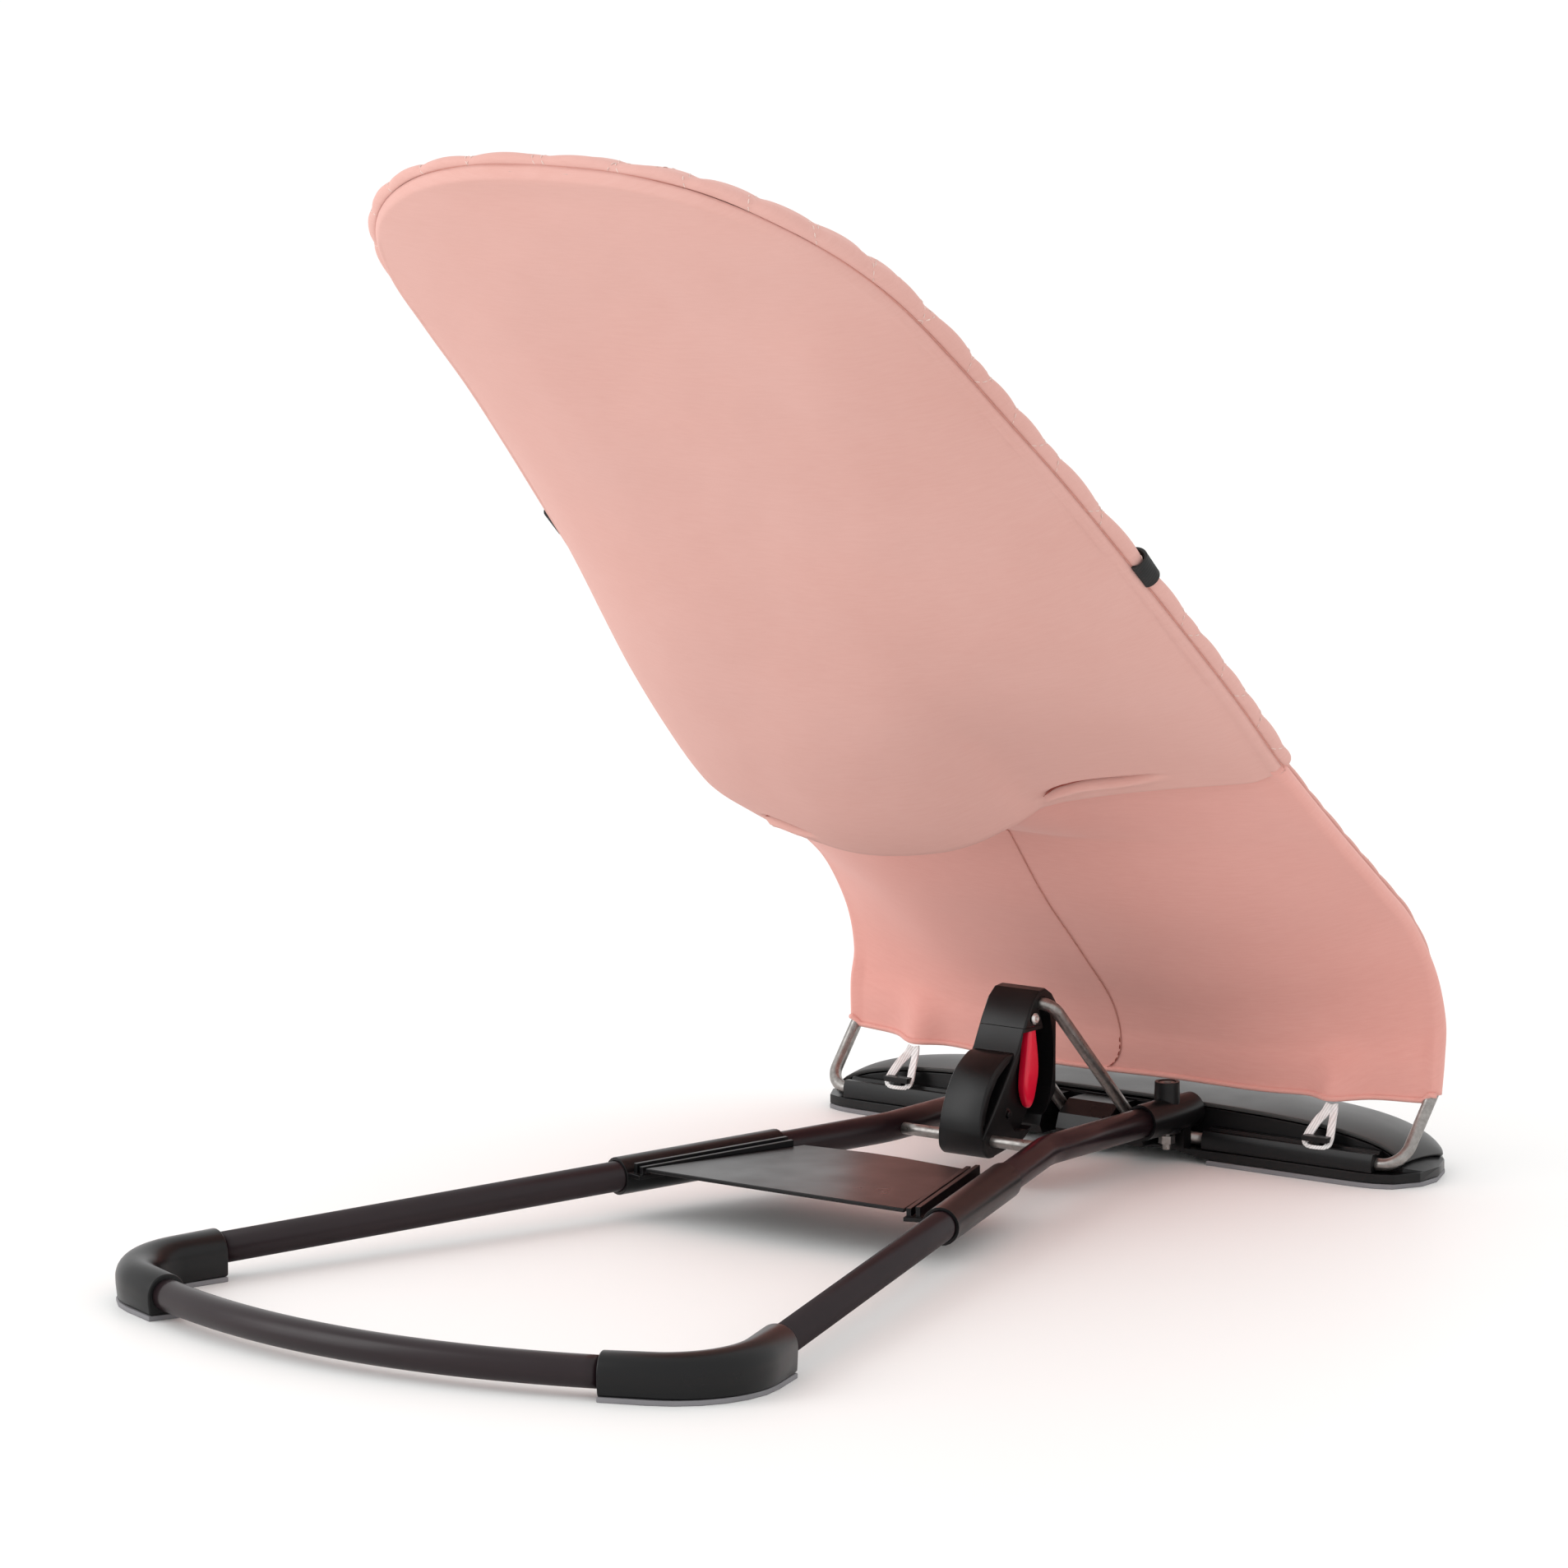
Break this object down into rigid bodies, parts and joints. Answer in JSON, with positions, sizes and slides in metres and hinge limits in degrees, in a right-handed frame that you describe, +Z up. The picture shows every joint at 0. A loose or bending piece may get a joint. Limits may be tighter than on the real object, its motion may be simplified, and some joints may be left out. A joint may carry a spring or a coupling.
{
  "type": "baby bouncer seat",
  "caption": "Baby bouncer seat: fabric sling on a sprung steel wire frame hinged to a wide front foot, held by a slotted recline block on a black tube base.",
  "frame": {"origin": "middle of the whole footprint, on the floor", "axes": "+Z up, feet end towards -Y, head end towards +Y, +X to the baby's left"},
  "size_m": [0.389, 0.7645, 0.5737],
  "materials": {
    "black_plastic": "satin moulded black plastic",
    "grey_cover": "satin dark grey moulded cover",
    "grey_rubber": "matt grey non-slip rubber",
    "black_tube": "satin black powder coat",
    "bare_steel": "dull mottled spring steel",
    "red_plastic": "glossy red",
    "pink_fabric": "fine woven salmon pink cotton",
    "pink_quilt": "quilted salmon pink cotton",
    "black_webbing": "woven black webbing",
    "white_elastic": "white woven elastic tape"
  },
  "bodies": {
    "base": {"front_foot_body": "black_plastic", "front_foot_cover": "grey_cover", "hinge_housing": "black_plastic", "cross_plate": "black_plastic", "cross_rod": "bare_steel", "rear_tube": "black_tube", "front_sole_right": "grey_rubber", "wire_rail_cap_right": "black_plastic", "strap_hook_right": "black_plastic", "tube_socket_right": "black_plastic", "socket_bolt_right": "bare_steel", "socket_nut_right": "bare_steel", "side_tube_right": "black_tube", "corner_elbow_right": "black_plastic", "corner_sole_right": "grey_rubber", "plate_clip_right": "black_plastic", "front_sole_left": "grey_rubber", "wire_rail_cap_left": "black_plastic", "strap_hook_left": "black_plastic", "tube_socket_left": "black_plastic", "socket_bolt_left": "bare_steel", "socket_nut_left": "bare_steel", "side_tube_left": "black_tube", "corner_elbow_left": "black_plastic", "corner_sole_left": "grey_rubber", "plate_clip_left": "black_plastic"},
    "recline_block": {"block_cap": "black_plastic", "block_housing": "black_plastic", "finger_grip": "black_plastic", "lever_screw": "bare_steel", "spring_barrel": "black_plastic"},
    "lever": {"release_lever": "red_plastic"},
    "seat": {"seat_wire_right": "bare_steel", "seat_wire_left": "bare_steel", "head_wire": "bare_steel", "bow_wire": "bare_steel", "lower_panel": "pink_fabric", "seat_back_panel": "pink_fabric", "seat_front_pad": "pink_quilt", "restraint_flap": "pink_quilt", "restraint_strap_right": "black_webbing", "restraint_strap_left": "black_webbing", "strap_loop_right": "white_elastic", "strap_loop_left": "white_elastic"}
  },
  "joints": [
    {"name": "seat_recline", "type": "hinge", "parent": "base", "child": "seat", "pos_m": [0, -0.274, 0.012], "axis": [-1, 0, 0], "range_deg": [0, 42]},
    {"name": "block_tilt", "type": "hinge", "parent": "base", "child": "recline_block", "pos_m": [0, -0.1435, 0.0265], "axis": [-1, 0, 0], "range_deg": [0, 112.1]},
    {"name": "lever_press", "type": "hinge", "parent": "recline_block", "child": "lever", "pos_m": [0, -0.1815, 0.087], "axis": [1, 0, 0], "range_deg": [0, 8], "stiffness_Nm_per_rad": 0.3}
  ],
  "couplings": [
    {"joint": "block_tilt", "follows": "seat_recline", "ratio": 2.667}
  ]
}
